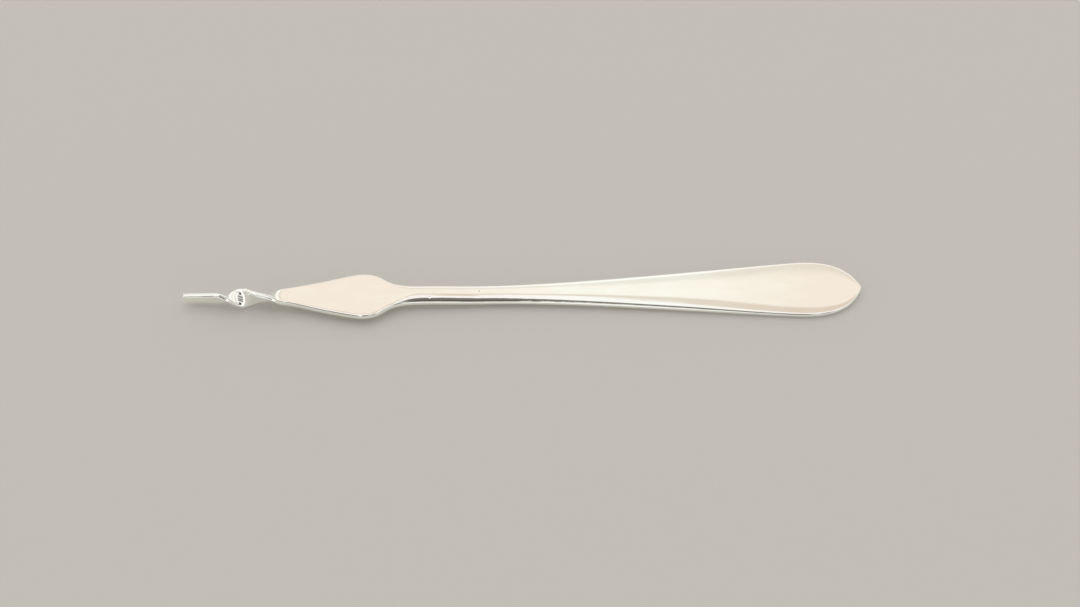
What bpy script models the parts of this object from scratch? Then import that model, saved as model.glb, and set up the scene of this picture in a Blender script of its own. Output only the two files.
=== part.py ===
"""A silver butter pick, lying face up as on a table.

Metres, +Z up. +X runs from the tine's tip to the handle's point. The origin is on the table, under the
middle of the length. Tine, blade, shank and handle follow one another along X, and each is a loft of
cross-sections: a rounded strip in the tine and the blade, and a crowned bar with a flat back behind them.
"""

import math

import bmesh
import bpy

# Lengths along X, from the tine's tip to the handle's point
TINE_LENGTH = 0.0222
BLADE_LENGTH = 0.0296
SHANK_LENGTH = 0.0152
HANDLE_LENGTH = 0.0830

# Stretches inside those lengths
TIP_ROUND = 0.0038  # the tine's rounded end
TIP_TAPER = 0.0116  # from the rounded stretch to the strip's full width
FALL_LENGTH = 0.0108  # where the blade's plane sinks below the tine's axis
NECK_LENGTH = 0.0124  # from the blade's shoulders to the shank
ROOT_LENGTH = 0.0062  # where the blade thickens into the shank
FADE_LENGTH = 0.0330  # where the shank's crown sinks to the flare's
CROWN_LENGTH = 0.0280  # where the flare's crown sinks further, up to the handle's widest place
POINT_LENGTH = 0.0122  # from the handle's widest place to its point

# Widths
TIP_WIDTH = 0.0024
STRIP_WIDTH = 0.0044
BLADE_WIDTH = 0.0132
SHANK_WIDTH = 0.0052
HANDLE_WIDTH = 0.0166
END_WIDTH = 0.0006  # the small flat that ends the tine and the handle

# Thicknesses and heights
STRIP_THICKNESS = 0.00120  # one gauge for the tine and the blade
SHANK_RIM = 0.00075  # the widest line of the shank's side above its back
HANDLE_RIM = 0.00092  # the same line on the handle
SHANK_CROWN = 0.00128  # the top's middle above that line, where the shank leaves the blade
FLARE_CROWN = 0.00104  # the same rise along the handle's flare
HANDLE_CROWN = 0.00070  # the same rise at the handle's widest place
SHANK_LIFT = 0.00100  # the shank's back above the table where it leaves the blade
HANDLE_LIFT = 0.00060  # the handle's back above the table where it leaves the shank
BLADE_FALL = 0.00040  # the blade's middle plane below the tine's axis
TIP_FALL = 0.00050  # the tine's end below the rest of its axis
TIP_SET = 0.00094  # the tine's end off the middle plane, to the +Y side
EDGE_RADIUS = 0.00036  # the edges of the strip
FOOT_RADIUS = 0.00070  # the lower edges of shank and handle

# The tine's twist: turns in degrees at shares of its length, from the tip to the blade
TWIST_SHARES = (0.28, 0.35, 0.43, 0.51, 0.585, 0.665, 0.745, 0.865, 0.905, 0.945, 1.0)
TWIST_TURNS = (258.0, 247.0, 216.0, 175.0, 131.0, 87.0, 63.0, 42.0, 28.0, 13.0, 0.0)

# The hair gap that keeps neighbouring lengths apart as solids, where the real metal runs on
SEAM = 0.00005

# How long each curve of the outline stays level at its two ends, as shares of its run
TAPER_EASE = (0.105, 0.155)
NECK_EASE = (0.48, 0.71)
FLARE_EASE = (0.31, 0.10)
TIP_EASE = (0.35, 0.35)
POINT_EASE = (0.695, 0.106)
POINT_SHOULDER = 0.41  # the handle's width at the last control point of its end, as a share
TIP_LEAN = 0.75  # how much of the tip's rounding is taken off its lower edge, from -1 to 1
CROWN_SHARE = 0.88  # the share of the half width in which a bar's top rounds down to its side
CROWN_LEFT = 0.35  # the share of the crown that is left at the handle's point
SIDE_LIMIT = 0.90  # the largest share of a side's height that its lower edge takes
ROUND_LIMIT = 0.45  # the largest share of a half width that an edge takes

# The silver's colour, and the angle above which an edge stays crisp
SILVER_COLOUR = (0.93, 0.88, 0.80, 1.0)
CRISP_ANGLE = math.radians(40)

# Steps of the sections round the pick and along it
TOP_STEPS = 1
CROWN_STEPS = 6
FOOT_STEPS = 3
BACK_STEPS = 1
TIP_ROUND_STEPS = 7
TIP_TAPER_STEPS = 30
STRIP_STEPS = 18
TAPER_STEPS = 18
NECK_STEPS = 20
SHANK_STEPS = 6
FLARE_STEPS = 30
POINT_STEPS = 18

# Places along X, from those lengths
X_TIP = -(TINE_LENGTH + BLADE_LENGTH + SHANK_LENGTH + HANDLE_LENGTH) / 2
X_BLADE = X_TIP + TINE_LENGTH
X_SHANK = X_BLADE + BLADE_LENGTH
X_HANDLE = X_SHANK + SHANK_LENGTH
X_POINT = X_HANDLE + HANDLE_LENGTH
X_SHOULDER = X_SHANK - NECK_LENGTH
X_ROOT = X_SHANK - ROOT_LENGTH
X_WIDEST = X_POINT - POINT_LENGTH


def mix(first, second, share):
    return first + (second - first) * share


def smooth(x, start, end):
    """0 up to start, 1 from end on, and an even S between them."""
    share = min(max((x - start) / (end - start), 0.0), 1.0)
    return share * share * (3 - 2 * share)


def cubic(points, steps):
    """Points along a cubic curve from the first of four control points to the last."""
    placed = []
    for step in range(steps + 1):
        t = step / steps
        weights = ((1 - t) ** 3, 3 * t * (1 - t) ** 2, 3 * t * t * (1 - t), t**3)
        placed.append(tuple(sum(w * p[i] for w, p in zip(weights, points)) for i in (0, 1)))
    return placed


def level_curve(start, end, ease, steps):
    """An outline stretch between two (x, half width) points that leaves and arrives parallel to X."""
    run = end[0] - start[0]
    return cubic((start, (start[0] + ease[0] * run, start[1]), (end[0] - ease[1] * run, end[1]), end), steps)


def straight(start, end, steps):
    """An outline stretch of even steps between two (x, half width) points."""
    return [tuple(mix(a, b, step / steps) for a, b in zip(start, end)) for step in range(steps + 1)]


def tine_outline():
    """The strip's half width along the tine, from its rounded end to the blade."""
    round_end, full = X_TIP + TIP_ROUND, X_TIP + TIP_ROUND + TIP_TAPER
    rounded = []
    for step in range(TIP_ROUND_STEPS):
        angle = math.pi / 2 * step / TIP_ROUND_STEPS
        half = mix(END_WIDTH / 2, TIP_WIDTH / 2, math.sin(angle))
        rounded.append((round_end - TIP_ROUND * math.cos(angle), half))
    taper = level_curve((round_end, TIP_WIDTH / 2), (full, STRIP_WIDTH / 2), TIP_EASE, TIP_TAPER_STEPS)
    strip = straight((full, STRIP_WIDTH / 2), (X_BLADE, STRIP_WIDTH / 2), STRIP_STEPS)
    return rounded + taper + strip[1:]


def blade_outline():
    """The lozenge: a long taper from the tine to the shoulders, and a short neck down to the shank."""
    shoulder = (X_SHOULDER, BLADE_WIDTH / 2)
    taper = level_curve((X_BLADE, STRIP_WIDTH / 2), shoulder, TAPER_EASE, TAPER_STEPS)
    neck = level_curve(shoulder, (X_SHANK, SHANK_WIDTH / 2), NECK_EASE, NECK_STEPS)
    return taper + neck[1:]


def shank_outline():
    return straight((X_SHANK, SHANK_WIDTH / 2), (X_HANDLE, SHANK_WIDTH / 2), SHANK_STEPS)


def handle_outline():
    """The handle's long flare, and the two arcs that meet in its point."""
    widest = (X_WIDEST, HANDLE_WIDTH / 2)
    flare = level_curve((X_HANDLE, SHANK_WIDTH / 2), widest, FLARE_EASE, FLARE_STEPS)
    leave = (X_WIDEST + POINT_EASE[0] * POINT_LENGTH, HANDLE_WIDTH / 2)
    arrive = (X_POINT - POINT_EASE[1] * POINT_LENGTH, POINT_SHOULDER * HANDLE_WIDTH / 2)
    point = cubic((widest, leave, arrive, (X_POINT, END_WIDTH / 2)), POINT_STEPS)
    return flare + point[1:]


def in_bar(x):
    """0 on the strip of the tine and the blade, 1 on the bar of the shank and the handle."""
    return smooth(x, X_ROOT, X_SHANK)


def at_tip(x):
    """1 at the tine's tip, falling to 0 where its strip has its full width."""
    return 1 - smooth(x, X_TIP, X_TIP + TIP_ROUND + TIP_TAPER)


def strip_axis(x):
    """The height of the strip's middle, which is lower along the blade and at the tip.

    Between them it is the reach of the strip's corners, so that the twist's lowest edge touches the table.
    """
    corner = math.hypot(STRIP_WIDTH / 2 - EDGE_RADIUS, STRIP_THICKNESS / 2 - EDGE_RADIUS)
    blade_fall = BLADE_FALL * smooth(x, X_BLADE, X_BLADE + FALL_LENGTH)
    return EDGE_RADIUS + corner - blade_fall - TIP_FALL * at_tip(x)


def heights(x):
    """At one place along X: the back's height, the side's widest line above it, the top above that line."""
    bar = in_bar(x)
    along = smooth(x, X_HANDLE, X_WIDEST)
    bar_back = mix(SHANK_LIFT, HANDLE_LIFT * (1 - along), smooth(x, X_SHANK, X_HANDLE))
    back = mix(strip_axis(x) - STRIP_THICKNESS / 2, bar_back, bar)
    rim = mix(STRIP_THICKNESS - EDGE_RADIUS, mix(SHANK_RIM, HANDLE_RIM, along), bar)
    to_point = min((X_POINT - x) / POINT_LENGTH, 1.0)
    fade = mix(1.0, CROWN_LEFT, (1 - to_point) ** 2)
    flare_crown = mix(SHANK_CROWN, FLARE_CROWN, smooth(x, X_SHANK, X_SHANK + FADE_LENGTH))
    rise = mix(flare_crown, HANDLE_CROWN, smooth(x, X_WIDEST - CROWN_LENGTH, X_WIDEST)) * fade
    return back, rim, mix(EDGE_RADIUS, rise, bar)


def twist(x):
    """The strip's turn about the tine's axis, on a smooth curve through the places of its twist."""
    share = min(max((x - X_TIP) / TINE_LENGTH, TWIST_SHARES[0]), TWIST_SHARES[-1])
    last = len(TWIST_SHARES) - 1
    i = next(k for k in range(last) if share <= TWIST_SHARES[k + 1])
    rates = [0.0] * (last + 1)
    for k in range(1, last):
        rates[k] = (TWIST_TURNS[k + 1] - TWIST_TURNS[k - 1]) / (TWIST_SHARES[k + 1] - TWIST_SHARES[k - 1])
    run = TWIST_SHARES[i + 1] - TWIST_SHARES[i]
    t = (share - TWIST_SHARES[i]) / run
    held = TWIST_TURNS[i] * (1 + 2 * t) * (1 - t) ** 2 + TWIST_TURNS[i + 1] * t * t * (3 - 2 * t)
    bent = rates[i] * t * (1 - t) ** 2 - rates[i + 1] * t * t * (1 - t)
    return math.radians(held + run * bent)


def section(x, half):
    """(y, z) points round the pick at one place along X, from the middle of its top over the +Y side."""
    back, rim, crown = heights(x)
    bar = in_bar(x)
    reach = mix(min(EDGE_RADIUS, ROUND_LIMIT * half), CROWN_SHARE * half, bar)
    foot = min(mix(EDGE_RADIUS, FOOT_RADIUS, bar), SIDE_LIMIT * rim, ROUND_LIMIT * half)
    side = [((half - reach) * step / TOP_STEPS, back + rim + crown) for step in range(TOP_STEPS)]
    for step in range(CROWN_STEPS + 1):
        angle = math.pi / 2 * step / CROWN_STEPS
        side.append((half - reach + reach * math.sin(angle), back + rim + crown * math.cos(angle)))
    for step in range(FOOT_STEPS + 1):
        angle = math.pi / 2 * (1 + step / FOOT_STEPS)
        side.append((half - foot + foot * math.sin(angle), back + foot + foot * math.cos(angle)))
    for step in range(1, BACK_STEPS + 1):
        side.append(((half - foot) * (1 - step / BACK_STEPS), back))
    return side + [(-y, z) for y, z in side[-2:0:-1]]


def lean(x, half):
    """How far the strip's middle lies off its axis in the tip's rounding: its upper edge stays straight."""
    return TIP_LEAN * (TIP_WIDTH / 2 - half) if x < X_TIP + TIP_ROUND else 0.0


def twisted_section(x, half):
    """A section's points with the tine's twist, the near side upwards, and its set to one side."""
    axis = strip_axis(x)
    aside = TIP_SET * at_tip(x)
    c, s = math.cos(twist(x)), math.sin(twist(x))
    placed = []
    for y, z in section(x, half):
        out = y + lean(x, half)
        up = z - axis
        placed.append((out * c + up * s + aside, axis - out * s + up * c))
    return placed


def silver(name, roughness):
    material = bpy.data.materials.new(name)
    material.use_nodes = True
    shader = material.node_tree.nodes["Principled BSDF"]
    shader.inputs["Base Color"].default_value = SILVER_COLOUR
    shader.inputs["Metallic"].default_value = 1.0
    shader.inputs["Roughness"].default_value = roughness
    return material


def loft(name, outline, seams, roughness):
    """One solid through the sections of an outline. seams says which of its two ends meet a neighbour."""
    stations = [list(station) for station in outline]
    stations[0][0] += SEAM / 2 * seams[0]
    stations[-1][0] -= SEAM / 2 * seams[1]
    shape = bmesh.new()
    rings = []
    for x, half in stations:
        rings.append([shape.verts.new((x, y, z)) for y, z in twisted_section(x, half)])
    count = len(rings[0])
    for before, after in zip(rings, rings[1:]):
        for i in range(count):
            j = (i + 1) % count
            shape.faces.new((before[i], before[j], after[j], after[i]))
    shape.faces.new(rings[0])
    shape.faces.new(rings[-1])
    bmesh.ops.recalc_face_normals(shape, faces=shape.faces)
    mesh = bpy.data.meshes.new(name)
    shape.to_mesh(mesh)
    shape.free()
    mesh.shade_smooth()
    mesh.set_sharp_from_angle(angle=CRISP_ANGLE)
    mesh.materials.append(silver(name + "_silver", roughness))
    piece = bpy.data.objects.new(name, mesh)
    bpy.context.scene.collection.objects.link(piece)
    return piece


def main():
    for old in list(bpy.data.objects):
        bpy.data.objects.remove(old)
    loft("twisted_tine", tine_outline(), (False, True), 0.10)
    loft("blade", blade_outline(), (True, True), 0.16)
    loft("shank", shank_outline(), (True, True), 0.12)
    loft("handle", handle_outline(), (True, False), 0.14)


main()
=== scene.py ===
"""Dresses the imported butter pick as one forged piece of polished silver.

Metres, +Z up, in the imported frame: +X runs from the tine's tip to the handle's point. Tine, blade, shank
and handle are drawn out along X by extruding one ring, shaped at every station to the section there, and
the tine's rings are then turned about its axis. Neighbouring lengths are cut on the same smooth surface,
so no seam shows.
"""

import math

import bmesh
import bpy
from bpy.props import FloatProperty, FloatVectorProperty, PointerProperty
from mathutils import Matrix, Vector


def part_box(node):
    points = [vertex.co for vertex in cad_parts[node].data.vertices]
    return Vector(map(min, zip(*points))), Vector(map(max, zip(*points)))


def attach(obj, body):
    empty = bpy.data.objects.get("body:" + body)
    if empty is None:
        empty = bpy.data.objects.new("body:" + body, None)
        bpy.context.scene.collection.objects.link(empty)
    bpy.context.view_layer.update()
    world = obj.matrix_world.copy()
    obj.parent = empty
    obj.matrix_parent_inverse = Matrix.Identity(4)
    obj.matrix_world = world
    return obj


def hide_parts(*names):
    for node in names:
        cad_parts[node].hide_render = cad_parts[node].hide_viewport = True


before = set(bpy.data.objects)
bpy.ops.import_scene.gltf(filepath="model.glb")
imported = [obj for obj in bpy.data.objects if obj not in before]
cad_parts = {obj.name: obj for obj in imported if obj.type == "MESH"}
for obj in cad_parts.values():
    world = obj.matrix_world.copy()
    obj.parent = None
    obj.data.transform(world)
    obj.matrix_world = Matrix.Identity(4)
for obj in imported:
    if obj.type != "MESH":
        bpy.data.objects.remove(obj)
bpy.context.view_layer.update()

bl_info = {
    "name": "Butter Pick Silver",
    "version": (1, 0, 0),
    "blender": (4, 5, 0),
    "location": "View3D > Sidebar > Butter Pick",
    "description": "Draws out a silver butter pick over its packed solids and sets a plain studio stage",
    "category": "Add Mesh",
}

# Places along X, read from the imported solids: the tip, the three seams and the point
TINE, BLADE, SHANK, HANDLE = (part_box(node) for node in ("twisted_tine", "blade", "shank", "handle"))
X_TIP = TINE[0].x
X_BLADE = (TINE[1].x + BLADE[0].x) / 2
X_SHANK = (BLADE[1].x + SHANK[0].x) / 2
X_HANDLE = (SHANK[1].x + HANDLE[0].x) / 2
X_POINT = HANDLE[1].x

# How long each curve of the outline stays level at its two ends, as shares of its run
TAPER_EASE = (0.105, 0.155)
NECK_EASE = (0.48, 0.71)
FLARE_EASE = (0.31, 0.10)
TIP_EASE = (0.35, 0.35)
POINT_EASE = (0.695, 0.106)

# Other shares of the form
POINT_SHOULDER = 0.41  # the handle's width at the last control point of its end
TIP_LEAN = 0.75  # how much of the tip's rounding is taken off its lower edge, from -1 to 1
CROWN_SHARE = 0.88  # the share of the half width in which a bar's top rounds down to its side
CROWN_LEFT = 0.35  # the share of the crown that is left at the handle's point
SIDE_LIMIT = 0.90  # the largest share of a side's height that its lower edge takes
ROUND_LIMIT = 0.45  # the largest share of a half width that an edge takes

# The tine's twist: turns in degrees at shares of its length, from the tip to the blade
TWIST_SHARES = (0.28, 0.35, 0.43, 0.51, 0.585, 0.665, 0.745, 0.865, 0.905, 0.945, 1.0)
TWIST_TURNS = (258, 247, 216, 175, 131, 87, 63, 42, 28, 13, 0)

# How far the silver has taken on its tone and painted shade, at shares of the length from the tine's tip to
# the handle's point: the top is painted darker towards the blade and the handle's end, and left clean in the
# middle and at the tip as a painted highlight of an overhead lamp
TONE_AND_PAINTED_SHADE = (
    (0.10, 0.15), (0.15, 1.00), (0.25, 1.00), (0.33, 0.90), (0.44, 0.65),
    (0.55, 0.08), (0.72, 0.10), (0.86, 0.68), (0.93, 1.00),
)
# How cloudy patches of the silver's own random tone change that: a factor on their noise, and what is then
# added
CLOUD_GAIN = 1.0
CLOUD_SHIFT = -0.5
# How far a face looks up, as its normal's Z, where the tone and painted shade come in and where the file
# marks come in
TONE_AND_SHADE_FACING = (0.90, 0.985)
FILED_FACING = (0.97, 0.85)
# The places along X between which the file marks come in, from the handle towards the tine
FILED_REACH = (0.040, -0.010)
# The noise values between which the polishing lines go from polished to worn
WEAR_RANGE = (0.45, 0.80)
# The scale along each axis and the detail of each noise on the surface, and its height in metres
CLOUD_SCALE, CLOUD_DETAIL = (130, 420, 420), 5
LINE_SCALE, LINE_DETAIL, LINE_HEIGHT = (120, 6000, 6000), 3, 0.0000006
WAVER_SCALE, WAVER_DETAIL, WAVER_HEIGHT = (180, 180, 180), 1, 0.000018
FILED_SCALE, FILED_DETAIL, FILED_HEIGHT = (420, 1700, 1700), 1, 0.000022
# Two small marks that wear has left on the shank, and their heights, which are below the surface
PIT_PLACE, PIT_HEIGHT = (-0.0097, 0.00008, 0.00256), -0.00003
NICK_PLACE, NICK_HEIGHT = (-0.0206, -0.00161, 0.00276), -0.00004

# Stations along the pick, and points round half of each ring
TIP_ROUND_STEPS = 7
TIP_TAPER_STEPS = 26
STRIP_STEPS = 18
TAPER_STEPS = 16
NECK_STEPS = 18
SHANK_STEPS = 8
FLARE_STEPS = 30
POINT_STEPS = 18
CROWN_STEPS = 8
FOOT_STEPS = 4
FLAT_STEPS = 2
HOLD = 0.00012  # how far short of an edge a flat's last point stays
SPARE_STATIONS = 3  # stations past a cut, so that neighbouring lengths lie on one smooth surface there
SMOOTH_LEVELS = 2
CUT_THRESHOLD = 1e-7
SHARP_ANGLE = math.radians(40)

# A Mix node's sockets when it mixes colours: the factor, the two colours and the result
MIX_FACTOR, MIX_FIRST, MIX_SECOND, MIX_RESULT = 0, 6, 7, 2

# The light round the pick, by the angle from straight up towards the back of the stage, in degrees
LIGHT_BANDS = (
    (24, (1.02, 1.02, 1.02)),
    (27, (0.81, 0.745, 0.665)),
    (31, (0.81, 0.745, 0.665)),
    (35, (1.02, 1.00, 0.94)),
    (52, (1.02, 1.00, 0.94)),
    (58, (0.90, 0.885, 0.82)),
)
# The same light on the handle's side, with its soft grey band wider
HANDLE_BANDS = (
    (14, (1.02, 1.02, 1.02)),
    (17, (0.81, 0.745, 0.665)),
    (31, (0.82, 0.755, 0.675)),
    (34, (1.02, 1.00, 0.94)),
    (50, (1.02, 1.00, 0.94)),
    (57, (0.88, 0.87, 0.805)),
)
# The dark side of the room in front of the pick, as the share of the light that it lets through
DARK_FRONT = (
    (-78, (1.0, 1.0, 1.0)),
    (-68, (0.24, 0.22, 0.20)),
    (-58, (0.13, 0.115, 0.10)),
    (-34, (0.13, 0.115, 0.10)),
    (-22, (0.20, 0.18, 0.16)),
    (-6, (0.22, 0.20, 0.18)),
    (-3, (1.0, 1.0, 1.0)),
)
# How much of that dark counts, by the sideways direction from -1 to 1
FRONT_SHARES = (
    (-0.58, 0.10),
    (-0.44, 0.95),
    (-0.26, 0.90),
    (-0.13, 0.10),
    (-0.060, 0.10),
    (-0.025, 1.0),
    (0.085, 1.0),
    (0.22, 0.40),
    (0.32, 0.90),
    (0.46, 0.90),
    (0.58, 0.10),
)
# Two smaller darks beyond the ends of the pick, and how much of them counts
DARK_ENDS = (
    (-54, (1.0, 1.0, 1.0)),
    (-44, (0.12, 0.105, 0.09)),
    (-16, (0.12, 0.105, 0.09)),
    (-10, (1.0, 1.0, 1.0)),
)
END_SHARES = ((-0.71, 1.0), (-0.64, 0.0), (0.64, 0.0), (0.71, 1.0))
# The sideways directions between which the handle's bands come in, and all bands give way to plain light
HANDLE_REACH = (0.035, 0.065)
BAND_REACH = (0.62, 0.90)
END_LIGHT = (0.78, 0.76, 0.73, 1)
# The height of a direction below which a bright horizon takes over all round
HORIZON_REACH = (0.40, 0.30)
HORIZON_LIGHT = (1.06, 1.06, 1.04, 1)
FLOOR_SIZE = 6.0
FLOOR_ROUGHNESS = 0.35
# How far the floor keeps its plain colour in the silver's reflections, out of the pick's own shade
MIRRORED_SHARE = 0.5
# The grey that the camera sees where the floor ends
BACKGROUND = 0.60
SENSOR_WIDTH = 36  # millimetres


def length(name, description, default):
    """A size property in metres."""
    return FloatProperty(name=name, description=description, default=default, unit="LENGTH", precision=5)


def turn(name, description, degrees):
    """An angle property."""
    return FloatProperty(name=name, description=description, default=math.radians(degrees), subtype="ANGLE")


def tint(name, description, default):
    """A colour property."""
    return FloatVectorProperty(name=name, description=description, default=default, subtype="COLOR", size=3)


class PickForm(bpy.types.PropertyGroup):
    """The pick's widths, thicknesses and stretches."""

    tip_round: length("Tip Round", "The tine's rounded end", 0.0038)
    tip_taper: length("Tip Taper", "From the rounded stretch to the strip's full width", 0.0116)
    fall_length: length("Fall", "Where the blade's plane sinks below the tine's axis", 0.0108)
    neck_length: length("Neck", "From the blade's shoulders to the shank", 0.0124)
    root_length: length("Root", "Where the blade thickens into the shank", 0.0062)
    fade_length: length("Fade", "Where the shank's crown sinks to the flare's", 0.0330)
    crown_length: length("Crown", "Where the flare's crown sinks further, up to the widest place", 0.0280)
    point_length: length("Point", "From the handle's widest place to its point", 0.0122)
    tip_width: length("Tip Width", "Width of the tine's end", 0.0024)
    strip_width: length("Strip Width", "Width of the twisted strip", 0.0044)
    blade_width: length("Blade Width", "Width across the blade's shoulders", BLADE[1].y - BLADE[0].y)
    shank_width: length("Shank Width", "Width of the shank", SHANK[1].y - SHANK[0].y)
    handle_width: length("Handle Width", "Widest place of the handle", HANDLE[1].y - HANDLE[0].y)
    end_width: length("End Width", "The small flat that ends the tine and the handle", 0.0006)
    strip_thickness: length("Strip Gauge", "Thickness of the tine and the blade", 0.00120)
    shank_rim: length("Shank Side", "The widest line of the shank's side above its back", 0.00075)
    handle_rim: length("Handle Side", "The widest line of the handle's side above its back", 0.00092)
    shank_crown: length("Shank Crown", "The top's middle above that line, on the shank", 0.00128)
    flare_crown: length("Flare Crown", "The top's middle above that line, on the flare", 0.00104)
    handle_crown: length("Handle Crown", "The top's middle above that line, on the handle", 0.00070)
    shank_lift: length("Shank Lift", "The shank's back above the floor, at the blade", BLADE[0].z)
    handle_lift: length("Handle Lift", "The handle's back above the floor, at the shank", SHANK[0].z)
    blade_fall: length("Blade Fall", "The blade's middle plane below the tine's axis", 0.00040)
    tip_fall: length("Tip Fall", "The tine's end below the rest of its axis", 0.00050)
    tip_set: length("Tip Set", "The tine's end off the middle plane", 0.00094)
    edge_radius: length("Edge Radius", "Rounding of the strip's edges", 0.00036)
    blade_soft: length("Blade Softening", "How far polish has rounded the blade's face to its edges", 0.0009)
    foot_radius: length("Foot Radius", "Rounding of the lower edges of shank and handle", 0.00070)


class SilverFinish(bpy.types.PropertyGroup):
    """The colour and polish of the silver."""

    silver: tint("Silver", "Colour of the clean polish", (0.945, 0.95, 0.89))
    # This darker colour is both the silver's faint tone and the painted shade on the top towards the blade
    # and the handle's end.
    tone_and_shade: tint("Toned Silver", "Colour where the polish has faintly toned", (0.895, 0.815, 0.74))
    tarnish: tint("Tarnish", "Colour in the small pit", (0.20, 0.17, 0.13))
    pit_size: length("Pit Size", "Radius of the small pit on the shank", 0.00022)
    nick_size: length("Nick Size", "Radius of the small nick in the shank's near side", 0.00040)
    polish: FloatProperty(name="Polish", description="Roughness of the clean polish", default=0.02)
    worn: FloatProperty(name="Worn", description="Roughness of the worn polish", default=0.06)


class StudioStage(bpy.types.PropertyGroup):
    """The floor and the camera."""

    floor: tint("Floor", "Colour of the floor", (0.68, 0.655, 0.61))
    azimuth: turn("Azimuth", "The camera's turn about the pick", -1.95)
    elevation: turn("Elevation", "The camera's height above the floor", 45)
    distance: length("Distance", "From the camera to the place it looks at", 0.70)
    lens: FloatProperty(name="Lens", description="Focal length in millimetres", default=105.53)
    aim_x: length("Aim X", "The place on the floor that the camera looks at", 0.00369)
    aim_y: length("Aim Y", "The place on the floor that the camera looks at", -0.00172)


def mix(first, second, share):
    return first + (second - first) * share


def smooth(x, start, end):
    """0 up to start, 1 from end on, and an even S between them."""
    share = min(max((x - start) / (end - start), 0.0), 1.0)
    return share * share * (3 - 2 * share)


def cubic(points, steps):
    """Points along a cubic curve from the first of four control points to the last."""
    placed = []
    for step in range(steps + 1):
        t = step / steps
        weights = ((1 - t) ** 3, 3 * t * (1 - t) ** 2, 3 * t * t * (1 - t), t**3)
        placed.append(tuple(sum(w * p[i] for w, p in zip(weights, points)) for i in (0, 1)))
    return placed


def level_curve(start, end, ease, steps):
    """An outline stretch between two (x, half width) points that leaves and arrives parallel to X."""
    run = end[0] - start[0]
    return cubic((start, (start[0] + ease[0] * run, start[1]), (end[0] - ease[1] * run, end[1]), end), steps)


def straight(start, end, steps):
    """An outline stretch of even steps between two (x, half width) points."""
    return [tuple(mix(a, b, step / steps) for a, b in zip(start, end)) for step in range(steps + 1)]


def outline(form):
    """(x, half width) stations along the whole pick, from the tine's tip to the handle's point."""
    round_end = X_TIP + form.tip_round
    rounded = []
    for step in range(TIP_ROUND_STEPS):
        angle = math.pi / 2 * step / TIP_ROUND_STEPS
        half = mix(form.end_width / 2, form.tip_width / 2, math.sin(angle))
        rounded.append((round_end - form.tip_round * math.cos(angle), half))
    tip = (round_end, form.tip_width / 2)
    strip = (round_end + form.tip_taper, form.strip_width / 2)
    root = (X_BLADE, form.strip_width / 2)
    shoulder = (X_SHANK - form.neck_length, form.blade_width / 2)
    shank = (X_SHANK, form.shank_width / 2)
    flare = (X_HANDLE, form.shank_width / 2)
    widest = (X_POINT - form.point_length, form.handle_width / 2)
    leave = (widest[0] + POINT_EASE[0] * form.point_length, widest[1])
    arrive = (X_POINT - POINT_EASE[1] * form.point_length, POINT_SHOULDER * widest[1])
    stretches = (
        level_curve(tip, strip, TIP_EASE, TIP_TAPER_STEPS),
        straight(strip, root, STRIP_STEPS),
        level_curve(root, shoulder, TAPER_EASE, TAPER_STEPS),
        level_curve(shoulder, shank, NECK_EASE, NECK_STEPS),
        straight(shank, flare, SHANK_STEPS),
        level_curve(flare, widest, FLARE_EASE, FLARE_STEPS),
        cubic((widest, leave, arrive, (X_POINT, form.end_width / 2)), POINT_STEPS),
    )
    stations = rounded + [tip]
    for stretch in stretches:
        stations += stretch[1:]
    return stations


def in_bar(form, x):
    """0 on the strip of the tine and the blade, 1 on the bar of the shank and the handle."""
    return smooth(x, X_SHANK - form.root_length, X_SHANK)


def at_tip(form, x):
    """1 at the tine's tip, falling to 0 where its strip has its full width."""
    return 1 - smooth(x, X_TIP, X_TIP + form.tip_round + form.tip_taper)


def strip_axis(form, x):
    """The height of the strip's middle, which is lower along the blade and at the tip."""
    radius = form.edge_radius
    reach = radius + math.hypot(form.strip_width / 2 - radius, form.strip_thickness / 2 - radius)
    blade_fall = form.blade_fall * smooth(x, X_BLADE, X_BLADE + form.fall_length)
    return reach - blade_fall - form.tip_fall * at_tip(form, x)


def heights(form, x):
    """At one place along X: the back's height, the side's widest line above it, the top above that line."""
    bar = in_bar(form, x)
    widest = X_POINT - form.point_length
    along = smooth(x, X_HANDLE, widest)
    bar_back = mix(form.shank_lift, form.handle_lift * (1 - along), smooth(x, X_SHANK, X_HANDLE))
    back = mix(strip_axis(form, x) - form.strip_thickness / 2, bar_back, bar)
    rim = mix(form.strip_thickness - form.edge_radius, mix(form.shank_rim, form.handle_rim, along), bar)
    to_point = min((X_POINT - x) / form.point_length, 1.0)
    fade = mix(1.0, CROWN_LEFT, (1 - to_point) ** 2)
    flare_crown = mix(form.shank_crown, form.flare_crown, smooth(x, X_SHANK, X_SHANK + form.fade_length))
    rise = mix(flare_crown, form.handle_crown, smooth(x, widest - form.crown_length, widest)) * fade
    return back, rim, mix(form.edge_radius, rise, bar)


def flat_places(width):
    """Places from the middle of a flat to just short of its end, where they hold the next edge crisp."""
    last = width - min(HOLD, width / 2)
    return [last * step / FLAT_STEPS for step in range(FLAT_STEPS + 1)]


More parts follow.
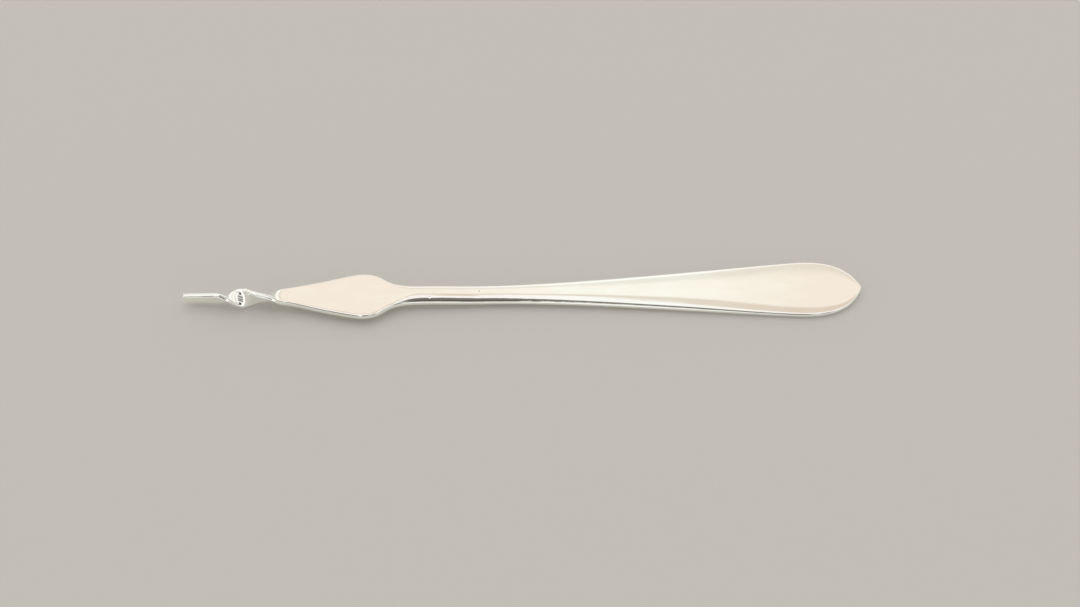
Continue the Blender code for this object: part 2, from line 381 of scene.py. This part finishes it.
def section(form, x, half):
    """(y, z) points round the pick at one place along X, from the middle of its top over the +Y side."""
    back, rim, crown = heights(form, x)
    bar = in_bar(form, x)
    softened = mix(form.edge_radius, form.blade_soft, smooth(x, X_BLADE, X_BLADE + form.fall_length))
    reach = mix(min(softened, ROUND_LIMIT * half), CROWN_SHARE * half, bar)
    foot = min(mix(form.edge_radius, form.foot_radius, bar), SIDE_LIMIT * rim, ROUND_LIMIT * half)
    side = [(y, back + rim + crown) for y in flat_places(half - reach)]
    for step in range(CROWN_STEPS + 1):
        angle = math.pi / 2 * step / CROWN_STEPS
        side.append((half - reach + reach * math.sin(angle), back + rim + crown * math.cos(angle)))
    for step in range(FOOT_STEPS + 1):
        angle = math.pi / 2 * (1 + step / FOOT_STEPS)
        side.append((half - foot + foot * math.sin(angle), back + foot + foot * math.cos(angle)))
    side += [(y, back) for y in reversed(flat_places(half - foot))]
    return side + [(-y, z) for y, z in side[-2:0:-1]]


def twist(x):
    """The strip's turn about the tine's axis, on a smooth curve through the places of its twist."""
    share = min(max((x - X_TIP) / (X_BLADE - X_TIP), TWIST_SHARES[0]), TWIST_SHARES[-1])
    last = len(TWIST_SHARES) - 1
    i = next(k for k in range(last) if share <= TWIST_SHARES[k + 1])
    rates = [0.0] * (last + 1)
    for k in range(1, last):
        rates[k] = (TWIST_TURNS[k + 1] - TWIST_TURNS[k - 1]) / (TWIST_SHARES[k + 1] - TWIST_SHARES[k - 1])
    run = TWIST_SHARES[i + 1] - TWIST_SHARES[i]
    t = (share - TWIST_SHARES[i]) / run
    held = TWIST_TURNS[i] * (1 + 2 * t) * (1 - t) ** 2 + TWIST_TURNS[i + 1] * t * t * (3 - 2 * t)
    bent = rates[i] * t * (1 - t) ** 2 - rates[i + 1] * t * t * (1 - t)
    return math.radians(held + run * bent)


def lean(form, x, half):
    """How far the strip's middle lies off its axis in the tip's rounding: its upper edge stays straighter."""
    return TIP_LEAN * (form.tip_width / 2 - half) if x < X_TIP + form.tip_round else 0.0


def shape_ring(form, piece, station):
    """Moves the selected ring's points to the section of a station, and turns it with the tine's twist."""
    x, half = station
    shape = bmesh.from_edit_mesh(piece.data)
    number = shape.verts.layers.int["round"]
    points = section(form, x, half)
    for vert in shape.verts:
        if vert.select:
            y, z = points[vert[number]]
            vert.co = (x, y + lean(form, x, half), z)
    bmesh.update_edit_mesh(piece.data)
    if x < X_BLADE:
        axis = (x, 0, strip_axis(form, x))
        bpy.ops.transform.rotate(value=twist(x), orient_axis="X", center_override=axis)
        bpy.ops.transform.translate(value=(0, form.tip_set * at_tip(form, x), 0))


def start_ring(form, name, station):
    """A circle at the first station, with its points numbered round, in edit mode."""
    count = len(section(form, *station))
    bpy.ops.object.select_all(action="DESELECT")
    bpy.ops.mesh.primitive_circle_add(
        vertices=count, radius=station[1], location=(station[0], 0, strip_axis(form, station[0])),
        rotation=(0, math.pi / 2, 0),
    )
    piece = bpy.context.active_object
    piece.name = piece.data.name = name
    bpy.ops.object.transform_apply(location=True, rotation=True, scale=True)
    bpy.ops.object.mode_set(mode="EDIT")
    shape = bmesh.from_edit_mesh(piece.data)
    number = shape.verts.layers.int.new("round")
    shape.verts.ensure_lookup_table()
    for i in range(count):
        shape.verts[i][number] = i
    bmesh.update_edit_mesh(piece.data)
    bpy.ops.mesh.select_all(action="SELECT")
    shape_ring(form, piece, station)
    return piece


def draw_out(form, name, stations, nosed):
    """A bar drawn out from a ring through the stations, with a rounded nose on its last one if asked."""
    piece = start_ring(form, name, stations[0])
    for before, station in zip(stations, stations[1:]):
        bpy.ops.mesh.extrude_region_move(TRANSFORM_OT_translate={"value": (station[0] - before[0], 0, 0)})
        shape_ring(form, piece, station)
    if nosed:
        bpy.ops.mesh.edge_face_add()
    bpy.ops.object.mode_set(mode="OBJECT")
    smoother = piece.modifiers.new("smooth", "SUBSURF")
    smoother.levels = smoother.render_levels = SMOOTH_LEVELS
    bpy.ops.object.modifier_apply(modifier=smoother.name)
    return piece


def cut_at(x, keep_above):
    """Cuts the piece in edit mode across X, closes the cut and keeps one side."""
    bpy.ops.mesh.select_all(action="SELECT")
    bpy.ops.mesh.bisect(
        plane_co=(x, 0, 0), plane_no=(1, 0, 0), use_fill=True,
        clear_inner=keep_above, clear_outer=not keep_above, threshold=CUT_THRESHOLD,
    )


def length_of_pick(scene, name, start, end, node):
    """One length of the pick between two places along X, standing for its CAD node."""
    form = scene.pick_form
    stations = outline(form)
    first = next(i for i, station in enumerate(stations) if station[0] >= start - CUT_THRESHOLD)
    last = next(i for i, station in enumerate(stations) if station[0] >= end - CUT_THRESHOLD)
    chosen = stations[max(first - SPARE_STATIONS, 0):last + SPARE_STATIONS + 1]
    if start == X_TIP:
        chosen.reverse()
    piece = draw_out(form, name, chosen, nosed=start == X_TIP or end == X_POINT)
    bpy.ops.object.mode_set(mode="EDIT")
    if start != X_TIP:
        cut_at(start, keep_above=True)
    if end != X_POINT:
        cut_at(end, keep_above=False)
    bpy.ops.mesh.select_all(action="SELECT")
    bpy.ops.mesh.normals_make_consistent(inside=False)
    bpy.ops.object.mode_set(mode="OBJECT")
    bpy.ops.object.shade_smooth_by_angle(angle=SHARP_ANGLE)
    piece.data.materials.append(polished_silver(scene.silver_finish))
    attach(piece, "root")
    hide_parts(node)


def wire(tree, source, output, target, entry):
    tree.links.new(source.outputs[output], target.inputs[entry])


def feed(tree, source, entry):
    """Links an output to an input, or sets the input to a plain value."""
    if isinstance(source, bpy.types.NodeSocket):
        tree.links.new(source, entry)
    else:
        entry.default_value = source


def ramp(tree, source, stops):
    """A colour ramp over an output that runs from 0 to 1, through (place, colour) stops."""
    ramped = tree.nodes.new("ShaderNodeValToRGB")
    tree.links.new(source, ramped.inputs["Fac"])
    held = ramped.color_ramp.elements
    while len(held) > 1:
        held.remove(held[-1])
    for i, (place, colour) in enumerate(stops):
        stop = held[0] if i == 0 else held.new(place)
        stop.position = place
        stop.color = (*colour, 1)
    return ramped.outputs["Color"]


def climb(tree, source, start, end, kind="SMOOTHSTEP"):
    """A share that climbs from 0 to 1 between two values of an output."""
    reach = tree.nodes.new("ShaderNodeMapRange")
    reach.interpolation_type = kind
    reach.inputs["From Min"].default_value = start
    reach.inputs["From Max"].default_value = end
    tree.links.new(source, reach.inputs["Value"])
    return reach.outputs["Result"]


def calculate(tree, operation, *entries):
    """The output of a math node on outputs and plain numbers."""
    node = tree.nodes.new("ShaderNodeMath")
    node.operation = operation
    for i, entry in enumerate(entries):
        feed(tree, entry, node.inputs[i])
    return node.outputs[0]


def blend_of(tree, kind, share, first, second):
    """A colour mix of two outputs, or of an output and a plain colour."""
    blend = tree.nodes.new("ShaderNodeMix")
    blend.data_type = "RGBA"
    blend.blend_type = kind
    for source, entry in ((share, MIX_FACTOR), (first, MIX_FIRST), (second, MIX_SECOND)):
        feed(tree, source, blend.inputs[entry])
    return blend.outputs[MIX_RESULT]


def noise(tree, place, scale, detail):
    """A noise over places on the pick, with a scale for each axis."""
    stretch = tree.nodes.new("ShaderNodeMapping")
    stretch.inputs["Scale"].default_value = scale
    wire(tree, place, "Object", stretch, "Vector")
    made = tree.nodes.new("ShaderNodeTexNoise")
    made.inputs["Scale"].default_value = 1
    made.inputs["Detail"].default_value = detail
    wire(tree, stretch, "Vector", made, "Vector")
    return made.outputs["Fac"]


def nearness(tree, place, point, radius):
    """1 at a point on the pick, falling to 0 at a radius round it."""
    apart = tree.nodes.new("ShaderNodeVectorMath")
    apart.operation = "DISTANCE"
    apart.inputs[1].default_value = point
    wire(tree, place, "Object", apart, 0)
    return climb(tree, apart.outputs["Value"], radius, 0)


def bump(tree, height, distance, strength, below):
    """A bump of a height in metres, over the normal of the one below it."""
    raised = tree.nodes.new("ShaderNodeBump")
    raised.inputs["Distance"].default_value = distance
    tree.links.new(height, raised.inputs["Height"])
    feed(tree, strength, raised.inputs["Strength"])
    if below:
        tree.links.new(below, raised.inputs["Normal"])
    return raised.outputs["Normal"]


def polished_silver(finish):
    """Hand-polished silver with a faint tone, painted shade towards its ends and a painted highlight in the
    middle of its top, fine lines, file marks on its sides and two small marks.
    """
    material = bpy.data.materials.get("polished_silver")
    if material:
        return material
    material = bpy.data.materials.new("polished_silver")
    material.use_nodes = True
    tree = material.node_tree
    shader = tree.nodes["Principled BSDF"]
    shader.inputs["Metallic"].default_value = 1.0
    place = tree.nodes.new("ShaderNodeTexCoord")
    parts = tree.nodes.new("ShaderNodeSeparateXYZ")
    wire(tree, place, "Object", parts, "Vector")
    facing = tree.nodes.new("ShaderNodeNewGeometry")
    faced = tree.nodes.new("ShaderNodeSeparateXYZ")
    wire(tree, facing, "Normal", faced, "Vector")

    # Painted shade and highlight: the ramp along X paints the top darker towards the blade and the handle's
    # end, and leaves it clean and brighter in the middle and at the tine's tip, where an overhead lamp's
    # highlight falls. The cloud noise adds the silver's own random tone.
    along = climb(tree, parts.outputs["X"], X_TIP, X_POINT, "LINEAR")
    tone_and_shade_along = ramp(tree, along, [(share, (level, level, level)) for share, level in TONE_AND_PAINTED_SHADE])
    clouds = noise(tree, place, CLOUD_SCALE, CLOUD_DETAIL)
    clouded = calculate(tree, "MULTIPLY_ADD", clouds, CLOUD_GAIN, CLOUD_SHIFT)
    pit = nearness(tree, place, PIT_PLACE, finish.pit_size)
    # Only faces that look up get this tone and painted shade.
    looking_up = climb(tree, faced.outputs["Z"], *TONE_AND_SHADE_FACING)
    tone_and_shade = calculate(tree, "MULTIPLY", calculate(tree, "ADD", tone_and_shade_along, clouded), looking_up)
    tone = blend_of(tree, "MIX", tone_and_shade, (*finish.silver, 1), (*finish.tone_and_shade, 1))
    dark = blend_of(tree, "MIX", pit, tone, (*finish.tarnish, 1))
    tree.links.new(dark, shader.inputs["Base Color"])

    lines = noise(tree, place, LINE_SCALE, LINE_DETAIL)
    wear = tree.nodes.new("ShaderNodeMapRange")
    wear.inputs["From Min"].default_value, wear.inputs["From Max"].default_value = WEAR_RANGE
    wear.inputs["To Min"].default_value = finish.polish
    wear.inputs["To Max"].default_value = finish.worn
    tree.links.new(lines, wear.inputs["Value"])
    wire(tree, wear, "Result", shader, "Roughness")

    on_side = climb(tree, faced.outputs["Z"], *FILED_FACING)
    filing = calculate(tree, "MULTIPLY", on_side, climb(tree, parts.outputs["X"], *FILED_REACH))
    slow = bump(tree, noise(tree, place, WAVER_SCALE, WAVER_DETAIL), WAVER_HEIGHT, 1.0, None)
    filed = bump(tree, noise(tree, place, FILED_SCALE, FILED_DETAIL), FILED_HEIGHT, filing, slow)
    nick = nearness(tree, place, NICK_PLACE, finish.nick_size)
    nicked = bump(tree, nick, NICK_HEIGHT, 1.0, filed)
    sunk = bump(tree, pit, PIT_HEIGHT, 1.0, nicked)
    fine = bump(tree, lines, LINE_HEIGHT, 1.0, sunk)
    tree.links.new(fine, shader.inputs["Normal"])
    return material


class DrawTine(bpy.types.Operator):
    """Draws out the strip and twists it into the tine"""

    bl_idname = "butterpick.draw_tine"
    bl_label = "Draw and Twist Tine"

    def execute(self, context):
        length_of_pick(context.scene, "silver_tine", X_TIP, X_BLADE, "twisted_tine")
        return {"FINISHED"}


class DrawBlade(bpy.types.Operator):
    """Spreads the flat lozenge of the blade"""

    bl_idname = "butterpick.draw_blade"
    bl_label = "Spread Blade"

    def execute(self, context):
        length_of_pick(context.scene, "silver_blade", X_BLADE, X_SHANK, "blade")
        return {"FINISHED"}


class DrawShank(bpy.types.Operator):
    """Draws out the narrow crowned shank"""

    bl_idname = "butterpick.draw_shank"
    bl_label = "Draw Shank"

    def execute(self, context):
        length_of_pick(context.scene, "silver_shank", X_SHANK, X_HANDLE, "shank")
        return {"FINISHED"}


class DrawHandle(bpy.types.Operator):
    """Flares the crowned handle and brings it to its point"""

    bl_idname = "butterpick.draw_handle"
    bl_label = "Flare Handle"

    def execute(self, context):
        length_of_pick(context.scene, "silver_handle", X_HANDLE, X_POINT, "handle")
        return {"FINISHED"}


def studio_light():
    """Soft bands of light along the pick, darks in front of it and beyond its ends, and a bright horizon."""
    world = bpy.context.scene.world or bpy.data.worlds.new("studio")
    bpy.context.scene.world = world
    world.use_nodes = True
    tree = world.node_tree
    tree.nodes.clear()
    way = tree.nodes.new("ShaderNodeTexCoord")
    parts = tree.nodes.new("ShaderNodeSeparateXYZ")
    wire(tree, way, "Generated", parts, "Vector")
    angle = calculate(tree, "ARCTAN2", parts.outputs["Y"], parts.outputs["Z"])
    turned = calculate(tree, "MULTIPLY_ADD", angle, 1 / math.tau, 0.5)
    x = parts.outputs["X"]
    across = calculate(tree, "MULTIPLY_ADD", x, 0.5, 0.5)

    bands, handle_bands, dark_front, dark_ends = (
        ramp(tree, turned, [(degrees / 360 + 0.5, colour) for degrees, colour in stops])
        for stops in (LIGHT_BANDS, HANDLE_BANDS, DARK_FRONT, DARK_ENDS)
    )
    front_share, end_share = (
        ramp(tree, across, [(place / 2 + 0.5, (level, level, level)) for place, level in stops])
        for stops in (FRONT_SHARES, END_SHARES)
    )
    banded = blend_of(tree, "MIX", climb(tree, x, *HANDLE_REACH), bands, handle_bands)
    at_ends = climb(tree, calculate(tree, "ABSOLUTE", x), *BAND_REACH)
    ended = blend_of(tree, "MIX", at_ends, banded, END_LIGHT)
    low = climb(tree, parts.outputs["Z"], *HORIZON_REACH)
    fronted = blend_of(tree, "MULTIPLY", front_share, ended, dark_front)
    shaded = blend_of(tree, "MULTIPLY", end_share, fronted, dark_ends)
    light = blend_of(tree, "MIX", low, shaded, HORIZON_LIGHT)

    lit = tree.nodes.new("ShaderNodeBackground")
    tree.links.new(light, lit.inputs["Color"])
    seen = tree.nodes.new("ShaderNodeBackground")
    seen.inputs["Color"].default_value = (BACKGROUND, BACKGROUND, BACKGROUND, 1)
    ray = tree.nodes.new("ShaderNodeLightPath")
    choice = tree.nodes.new("ShaderNodeMixShader")
    wire(tree, ray, "Is Camera Ray", choice, "Fac")
    tree.links.new(lit.outputs[0], choice.inputs[1])
    tree.links.new(seen.outputs[0], choice.inputs[2])
    output = tree.nodes.new("ShaderNodeOutputWorld")
    wire(tree, choice, "Shader", output, "Surface")


def pale_floor(stage):
    """A plain satin floor that keeps the shadow."""
    bpy.ops.object.select_all(action="DESELECT")
    bpy.ops.mesh.primitive_plane_add(size=FLOOR_SIZE, location=(0, 0, 0))
    floor = bpy.context.active_object
    floor.name = "floor"
    material = bpy.data.materials.new("pale_floor")
    material.use_nodes = True
    tree = material.node_tree
    shader = tree.nodes["Principled BSDF"]
    shader.inputs["Base Color"].default_value = (*stage.floor, 1)
    shader.inputs["Roughness"].default_value = FLOOR_ROUGHNESS
    ray = tree.nodes.new("ShaderNodeLightPath")
    paler = calculate(tree, "MULTIPLY", ray.outputs["Is Glossy Ray"], MIRRORED_SHARE)
    pale = tree.nodes.new("ShaderNodeEmission")
    pale.inputs["Color"].default_value = (*stage.floor, 1)
    mixed = tree.nodes.new("ShaderNodeMixShader")
    tree.links.new(paler, mixed.inputs["Fac"])
    tree.links.new(shader.outputs[0], mixed.inputs[1])
    tree.links.new(pale.outputs[0], mixed.inputs[2])
    wire(tree, mixed, "Shader", tree.nodes["Material Output"], "Surface")
    floor.data.materials.append(material)


def place_camera(stage):
    """The camera, looking down at the pick from its front."""
    back = Vector((
        math.sin(stage.azimuth) * math.cos(stage.elevation),
        -math.cos(stage.azimuth) * math.cos(stage.elevation),
        math.sin(stage.elevation),
    ))
    data = bpy.data.cameras.new("camera")
    data.sensor_width = SENSOR_WIDTH
    data.lens = stage.lens
    camera = bpy.data.objects.new("camera", data)
    bpy.context.scene.collection.objects.link(camera)
    camera.location = Vector((stage.aim_x, stage.aim_y, 0)) + back * stage.distance
    camera.rotation_mode = "QUATERNION"
    camera.rotation_quaternion = back.to_track_quat("Z", "Y")
    bpy.context.scene.camera = camera


class SetStage(bpy.types.Operator):
    """Lays the floor, sets the light and places the camera"""

    bl_idname = "butterpick.set_stage"
    bl_label = "Set Stage"

    def execute(self, context):
        stage = context.scene.studio_stage
        pale_floor(stage)
        studio_light()
        place_camera(stage)
        context.scene.view_settings.view_transform = "Standard"
        return {"FINISHED"}


class ButterPickPanel(bpy.types.Panel):
    """Lists the steps that make the butter pick"""

    bl_idname = "VIEW3D_PT_butter_pick"
    bl_label = "Butter Pick"
    bl_space_type = "VIEW_3D"
    bl_region_type = "UI"
    bl_category = "Butter Pick"

    def draw(self, context):
        for operator in OPERATORS:
            self.layout.operator(operator.bl_idname)
        for group in (context.scene.pick_form, context.scene.silver_finish, context.scene.studio_stage):
            box = self.layout.box()
            for name in group.__annotations__:
                box.prop(group, name)


GROUPS = (PickForm, SilverFinish, StudioStage)
OPERATORS = (SetStage, DrawTine, DrawBlade, DrawShank, DrawHandle)
CLASSES = GROUPS + OPERATORS + (ButterPickPanel,)


def register():
    for cls in CLASSES:
        bpy.utils.register_class(cls)
    bpy.types.Scene.pick_form = PointerProperty(type=PickForm)
    bpy.types.Scene.silver_finish = PointerProperty(type=SilverFinish)
    bpy.types.Scene.studio_stage = PointerProperty(type=StudioStage)


def unregister():
    del bpy.types.Scene.studio_stage
    del bpy.types.Scene.silver_finish
    del bpy.types.Scene.pick_form
    for cls in reversed(CLASSES):
        bpy.utils.unregister_class(cls)


def main():
    register()
    bpy.ops.butterpick.set_stage()
    bpy.ops.butterpick.draw_tine()
    bpy.ops.butterpick.draw_blade()
    bpy.ops.butterpick.draw_shank()
    bpy.ops.butterpick.draw_handle()


if __name__ == "__main__":
    main()
